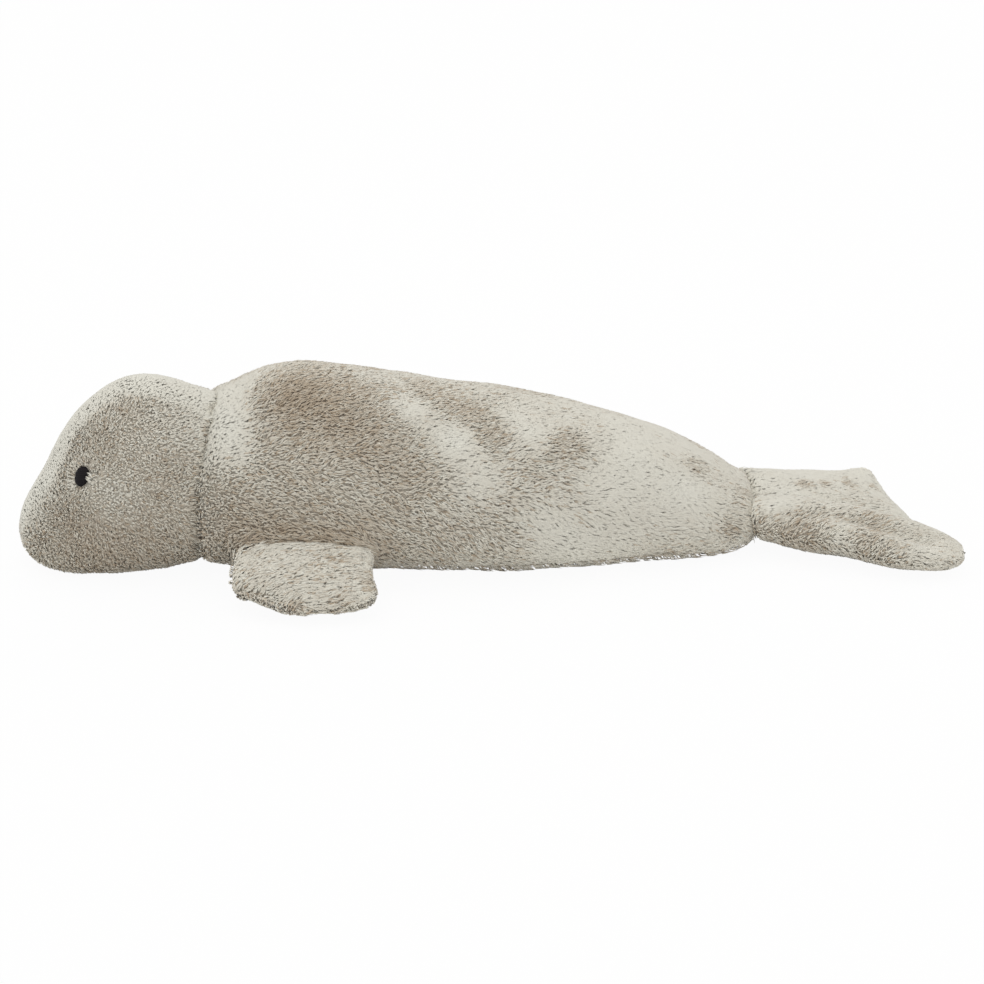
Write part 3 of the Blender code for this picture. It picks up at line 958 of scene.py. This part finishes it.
def grow_pile(name, node, offset, keep=None, shape=None, coat=None):
    """Covers a skin, or the stretch of it that keep chooses, with locks of pile. Where it is pale, the pile
    is brushed flat and smooth, and where it is dark it stands up loose and shows its roots. Near a seam the
    locks are longer and cross to the next piece."""
    settings = bpy.context.scene.seal_pile
    own_coat, patches = DRESS[node]
    coat = coat or own_coat
    if "right" in name:
        coat = coat._replace(spacing=coat.spacing * FAR_SIDE)
    random = np.random.default_rng(settings.seed + offset)
    skin = bpy.data.objects[node + "_skin"]
    roots, outward = scatter(skin, coat.spacing, random)
    if keep is not None:
        chosen = keep(roots, outward)
        roots, outward = roots[chosen], outward[chosen]
    skins = other_skins(node)
    free = distance_to(roots + outward * PILE_ROOM, skins, PILE_ROOM) > 0
    roots, outward = roots[free], outward[free]
    broad = broad_tone(roots, outward, coat, patches)
    loose = 1 - step_up(broad, LOOSE_TONE, SMOOTH_TONE)
    lie = nap_at(roots, outward, coat, loose)
    seam = distance_to(roots + unit(lie) * SEAM_COVER / 2, skins, SEAM_COVER)
    to_seam = 1 - np.clip(seam / SEAM_COVER, 0.0, 1.0)
    against = np.clip(-outward @ unit(np.array(coat.nap)), 0.0, 1.0)
    uneven = 1 + NAP_UNEVEN.at(loose) * random.uniform(-0.5, 0.5, len(roots))
    height = coat.height * NAP_HEIGHT.at(loose) * uneven
    run = coat.run * (NAP_RUN.at(loose) - FRONT_RUN * against) * random.uniform(0.7, 1.3, len(roots))
    run = run * (1 + SEAM_RUN * to_seam)
    if shape is not None:
        lie, height, run, free = shape(roots, outward, lie, height, run)
        roots, outward, lie, height, run = (item[free] for item in (roots, outward, lie, height, run))
        broad, loose, to_seam = broad[free], loose[free], to_seam[free]
    lie = unit(lie - outward * np.sum(lie * outward, axis=1, keepdims=True))
    side = np.cross(outward, lie)
    sway = random.normal(0.0, SWAY + CURL_SWAY * coat.curl, len(roots)) * NAP_SWAY.at(loose)
    lie = unit(lie + side * sway[:, None])
    run, below, facing = lay_locks(search_tree(skin.data), roots, outward, lie, run)
    tips = below + facing * height[:, None]
    over_seam = roots + outward * height[:, None] + lie * run[:, None]
    tips += (over_seam - tips) * to_seam[:, None]
    tips = gather_tips(roots, tips, settings, loose, random)
    wave = random.normal(0.0, WAVE, len(roots))[:, None]
    middles = roots + outward * (height * LOCK_BEND_HEIGHT)[:, None]
    middles = middles + (tips - roots) * LOCK_BEND + side * wave
    middles -= outward * np.sum((tips - roots) * outward, axis=1, keepdims=True) * LOCK_BEND
    widths = settings.width * random.uniform(0.8, 1.2, len(roots))
    widths = widths * NAP_WIDTH.at(loose) * (1 - CURL_NARROW * coat.curl)
    tones = lock_tones(broad, roots, loose, random)
    same_way = np.sum(outward * facing, axis=1)
    softness = NAP_SOFTNESS.at(loose) * np.clip(1 - RIM_SHADE * (1 - same_way), 0.0, 1.0)
    softness = softness * np.clip(1 + UNDER_SHADE * outward[:, 2], 0.0, 1.0)
    deep = roots - outward * ROOT_DEPTH
    mesh = locks_mesh(name, deep, middles, tips, outward, facing, widths, tones, softness)
    mesh.materials.append(shared_material("curly pile", pile_material))
    pile = bpy.data.objects.new(name, mesh)
    bpy.context.scene.collection.objects.link(pile)
    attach(pile, BODY)


def neck_ruff(points, outward, lie, height, run):
    """Makes the pile behind the neck seam stand a little higher and shorter, as a ruff."""
    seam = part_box("torso")[0][0]
    back = np.clip(1 - (points[:, 0] - seam) / RUFF_REACH, 0.0, 1.0) ** 1.5
    height = height * (1 + RUFF_HEIGHT * back)
    run = run * (1 - RUFF_RUN * back)
    return lie, height, run, np.ones(len(points), bool)


class EyePlace:
    """Where a stitched eye lies on the cheek: its middle, the ways across, up and out, and its size."""

    def __init__(self, node):
        places = coordinates(frame["nodes"][node].data)
        self.middle = (places.max(axis=0) + places.min(axis=0)) / 2
        _, _, axes = np.linalg.svd(places - places.mean(axis=0), full_matrices=False)
        self.up, self.across, self.out = axes
        if self.up[2] < 0:
            self.up = -self.up
        if self.across[0] < 0:
            self.across = -self.across
        if self.out @ (self.middle - head_middle()) < 0:
            self.out = -self.out
        spread = (places - self.middle) @ np.stack((self.across, self.up, self.out), axis=1)
        self.half = np.abs(spread).max(axis=0)

    def inside(self, points):
        """How far out each point is, as a share of the way to the oval's edge, and its place on the oval."""
        away = points - self.middle
        flat = np.stack((away @ self.across, away @ self.up), axis=1)
        near = np.abs(away @ self.out) < EYE_DEPTH
        share = np.linalg.norm(flat / self.half[:2], axis=1)
        return np.where(near, share, math.inf), flat


def head_middle():
    low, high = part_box("head")
    return (np.array(low) + np.array(high)) / 2


def part_round_eyes(points, outward, lie, height, run):
    """Keeps the pile off the eyes and brushes it away from them, but for the locks behind each eye, which
    lean over it."""
    free = np.ones(len(points), bool)
    for node in ("left_eye", "right_eye"):
        eye = EyePlace(node)
        share, flat = eye.inside(points)
        away = flat @ np.stack((eye.across, eye.up))
        near = (share < EYE_BRUSHED)[:, None]
        behind = ((flat[:, 0] > 0.5 * eye.half[0]) & (np.abs(flat[:, 1]) < 0.6 * eye.half[1]))[:, None]
        lie = np.where(near, unit(away) * np.where(behind, BRUSH_OVER, BRUSH_AWAY) + 0.3 * lie, lie)
        over = behind[:, 0] & (share < EYE_BEHIND)
        height = np.where(over, bpy.context.scene.seal_skin.inset + EYE_OVER_PILE, height)
        free &= share > EYE_MARGIN
    return lie, height, run, free


class SEAL_OT_cloth(bpy.types.Operator):
    """Makes the stuffed cloth of every plush piece"""

    bl_idname = "seal.cloth"
    bl_label = "Cloth"

    def execute(self, context):
        settings = context.scene.seal_skin
        for node in PLUSH_NODES:
            if "flipper" in node:
                make_skin(node, settings.fine_weave, settings.fine_inset)
            else:
                make_skin(node, settings.weave, settings.inset)
        return {"FINISHED"}


class SEAL_OT_torso(bpy.types.Operator):
    """Grows the torso's pile"""

    bl_idname = "seal.torso"
    bl_label = "Torso"

    def execute(self, context):
        def underside(points, outward):
            return (outward[:, 2] < BELLY_FACING) & (points[:, 2] < BELLY_HEIGHT)

        def stretch(side, end):
            def chosen(points, outward):
                here = (points[:, 1] * side >= 0) & ((points[:, 0] - MID_TORSO) * end >= 0)
                return here & ~underside(points, outward)

            return chosen

        for name, side, end in (
            ("front_left", -1, -1),
            ("front_right", 1, -1),
            ("rear_left", -1, 1),
            ("rear_right", 1, 1),
        ):
            chosen = stretch(side, end)
            grow_pile("torso_pile_" + name, "torso", 1, chosen, neck_ruff)
        grow_pile("torso_pile_belly", "torso", 2, underside, None, BELLY_COAT)
        return {"FINISHED"}


class SEAL_OT_head(bpy.types.Operator):
    """Grows the head's pile"""

    bl_idname = "seal.head"
    bl_label = "Head"

    def execute(self, context):
        grow_pile("head_pile", "head", 3, None, part_round_eyes)
        return {"FINISHED"}


class SEAL_OT_fore_flippers(bpy.types.Operator):
    """Grows the fore flippers' pile"""

    bl_idname = "seal.fore_flippers"
    bl_label = "Fore flippers"

    def execute(self, context):
        grow_pile("left_fore_flipper_pile", "left_fore_flipper", 4)
        grow_pile("right_fore_flipper_pile", "right_fore_flipper", 5)
        return {"FINISHED"}


class SEAL_OT_hind_flippers(bpy.types.Operator):
    """Grows the hind flippers' pile"""

    bl_idname = "seal.hind_flippers"
    bl_label = "Hind flippers"

    def execute(self, context):
        grow_pile("left_hind_flipper_pile", "left_hind_flipper", 6)
        grow_pile("right_hind_flipper_pile", "right_hind_flipper", 7)
        return {"FINISHED"}


def stitched_pad(name, eye):
    """The low oval of padding under the stitches."""
    bpy.ops.object.select_all(action="DESELECT")
    bpy.ops.mesh.primitive_uv_sphere_add(segments=32, ring_count=16, radius=1.0)
    pad = bpy.context.active_object
    pad.name = name
    turn = Matrix([Vector(axis) for axis in (eye.across, eye.up, eye.out)]).transposed()
    size = Matrix.Diagonal(Vector(eye.half * PAD_SIZE))
    pad.data.transform((turn @ size).to_4x4())
    pad.data.transform(Matrix.Translation(Vector(eye.middle)))
    return pad


def model_stitch():
    """A length of thread along X, one long and one thick, which each stitch copies and brings to its size."""
    bpy.ops.object.select_all(action="DESELECT")
    bpy.ops.mesh.primitive_cylinder_add(vertices=8, radius=0.5, depth=1.0, rotation=(0, math.pi / 2, 0))
    stitch = bpy.context.active_object
    bpy.ops.object.transform_apply(location=False, rotation=True, scale=False)
    bpy.ops.object.mode_set(mode="EDIT")
    for cut in range(1, STITCH_PARTS):
        bpy.ops.mesh.select_all(action="SELECT")
        bpy.ops.mesh.bisect(plane_co=(cut / STITCH_PARTS - 0.5, 0, 0), plane_no=(1, 0, 0))
    bpy.ops.object.mode_set(mode="OBJECT")
    return stitch


def make_eye(context, node):
    """A patch of satin stitch over a low pad: each thread dives into the cheek at both ends."""
    settings = context.scene.seal_eye
    eye = EyePlace(node)
    pad = stitched_pad(node + "_stitched", eye)
    master = model_stitch()
    shape = coordinates(master.data)
    count = int(2 * eye.half[1] / (settings.thread * THREAD_PITCH))
    pieces = []
    for number in range(count):
        share = (number + 0.5) / count * 2 - 1
        reach = eye.half[0] * math.sqrt(1 - share**2)
        across = shape[:, 0] * 2 * reach
        up = share * eye.half[1] + across * math.tan(settings.slant) * (1 - share**2)
        flat = np.clip((across / eye.half[0]) ** 2 + (up / eye.half[1]) ** 2, 0.0, 1.0)
        dome = eye.half[2] * np.sqrt(1 - flat)
        thick = settings.thread
        local = np.stack((across, up + shape[:, 1] * thick, dome + shape[:, 2] * thick * 0.9), axis=1)
        places = eye.middle + local @ np.stack((eye.across, eye.up, eye.out))
        mesh = master.data.copy()
        set_coordinates(mesh, places)
        strand = mesh.attributes.new("strand", "FLOAT", "POINT")
        shade = (number * THREAD_SHADE_STEP) % 1.0
        strand.data.foreach_set("value", np.full(len(places), shade, np.float32))
        copy = bpy.data.objects.new("stitch", mesh)
        context.scene.collection.objects.link(copy)
        pieces.append(copy)
    bpy.data.objects.remove(master)
    select_only(pad, *pieces)
    bpy.ops.object.join()
    bpy.ops.object.mode_set(mode="EDIT")
    bpy.ops.mesh.select_all(action="SELECT")
    bpy.ops.mesh.normals_make_consistent(inside=False)
    bpy.ops.object.mode_set(mode="OBJECT")
    pad.data.shade_smooth()
    pad.data.materials.clear()
    pad.data.materials.append(shared_material("eye thread", thread_material))
    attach(pad, BODY)
    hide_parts(node)


class SEAL_OT_eyes(bpy.types.Operator):
    """Stitches the two eyes"""

    bl_idname = "seal.eyes"
    bl_label = "Eyes"

    def execute(self, context):
        for node in ("left_eye", "right_eye"):
            make_eye(context, node)
        return {"FINISHED"}


def white_to_camera(nodes, shader, share=1.0):
    """The shader, but pure white where the camera, a reflection or glass sees it."""
    path = nodes.add("LightPath")
    seen = nodes.value(path, "Is Camera Ray") + nodes.value(path, "Is Glossy Ray")
    seen = seen.math("ADD", nodes.value(path, "Is Transmission Ray"), clamp=True)
    white = nodes.add("Emission", None, {"Color": (1, 1, 1, 1), "Strength": 1.0})
    return nodes.add("MixShader", None, [seen * share, shader.outputs[0], white.outputs[0]])


def floor_material():
    """A pale floor that reads as white and keeps a faint shadow."""
    made = bpy.data.materials.new("studio floor")
    nodes = Nodes(made)
    place = nodes.add("TexCoord")
    mottle = nodes.add("TexNoise", None, {"Vector": place.outputs["Object"], "Scale": 3.0, "Detail": 2.0})
    share = nodes.range(nodes.value(mottle), 0.3, 0.7)
    colour = nodes.blend(share, (0.86, 0.86, 0.855), (0.88, 0.88, 0.875))
    settings = {"Base Color": colour, "Roughness": 0.9, "Specular IOR Level": 0.1}
    shader = nodes.add("BsdfPrincipled", None, settings)
    nodes.finish(white_to_camera(nodes, shader, 0.95))
    return made


def light_world(settings):
    world = bpy.data.worlds.new("studio")
    bpy.context.scene.world = world
    nodes = Nodes(world)
    fill = nodes.add("Background", None, {"Color": (1.0, 0.995, 0.985, 1.0), "Strength": settings.fill})
    nodes.finish(white_to_camera(nodes, fill), "OutputWorld")


def add_lamp(name, place, aim, size, power):
    data = bpy.data.lights.new(name, "AREA")
    data.shape = "DISK"
    data.size = size
    data.energy = power
    lamp = bpy.data.objects.new(name, data)
    lamp.location = place
    lamp.rotation_euler = (Vector(aim) - Vector(place)).to_track_quat("-Z", "Y").to_euler()
    bpy.context.scene.collection.objects.link(lamp)


class SEAL_OT_stage(bpy.types.Operator):
    """Sets up the floor, the lamps, the world and the camera"""

    bl_idname = "seal.stage"
    bl_label = "Studio"

    def execute(self, context):
        settings = context.scene.seal_stage
        scene = context.scene
        bpy.ops.object.select_all(action="DESELECT")
        bpy.ops.mesh.primitive_plane_add(size=FLOOR_SIZE, location=(0, 0, 0))
        floor = context.active_object
        floor.name = "studio_floor"
        floor.data.materials.append(floor_material())
        light_world(settings)
        add_lamp("overhead", LAMP_PLACE, (0, 0, 0), LAMP_SIZE, settings.overhead)
        data = bpy.data.cameras.new("camera")
        data.lens = settings.lens
        data.sensor_width = SENSOR_WIDTH
        camera = bpy.data.objects.new("camera", data)
        aim = Vector((0, 0, settings.aim_height))
        back = Vector((0, -math.cos(settings.elevation), math.sin(settings.elevation)))
        camera.location = aim + back * settings.distance
        camera.rotation_euler = (-back).to_track_quat("-Z", "Y").to_euler()
        scene.collection.objects.link(camera)
        scene.camera = camera
        scene.view_settings.view_transform = "Standard"
        return {"FINISHED"}


STEPS = (
    SEAL_OT_stage,
    SEAL_OT_cloth,
    SEAL_OT_torso,
    SEAL_OT_head,
    SEAL_OT_fore_flippers,
    SEAL_OT_hind_flippers,
    SEAL_OT_eyes,
)
SETTINGS = {
    "seal_skin": SkinSettings,
    "seal_pile": PileSettings,
    "seal_colours": ColourSettings,
    "seal_eye": EyeSettings,
    "seal_stage": StageSettings,
}


class SEAL_PT_panel(bpy.types.Panel):
    """Lists the steps that dress the seal"""

    bl_idname = "SEAL_PT_panel"
    bl_label = "Plush Seal"
    bl_space_type = "VIEW_3D"
    bl_region_type = "UI"
    bl_category = "Seal"

    def draw(self, context):
        for step in STEPS:
            self.layout.operator(step.bl_idname)
        for name, kind in SETTINGS.items():
            box = self.layout.box()
            box.label(text=kind.__doc__)
            for key in kind.__annotations__:
                box.prop(getattr(context.scene, name), key)


def register():
    for kind in (*SETTINGS.values(), *STEPS, SEAL_PT_panel):
        bpy.utils.register_class(kind)
    for name, kind in SETTINGS.items():
        setattr(bpy.types.Scene, name, PointerProperty(type=kind))


def unregister():
    for name in SETTINGS:
        delattr(bpy.types.Scene, name)
    for kind in reversed((*SETTINGS.values(), *STEPS, SEAL_PT_panel)):
        bpy.utils.unregister_class(kind)


def main():
    register()
    bpy.ops.seal.stage()
    bpy.ops.seal.cloth()
    bpy.ops.seal.torso()
    bpy.ops.seal.head()
    bpy.ops.seal.fore_flippers()
    bpy.ops.seal.hind_flippers()
    bpy.ops.seal.eyes()


if __name__ == "__main__":
    main()
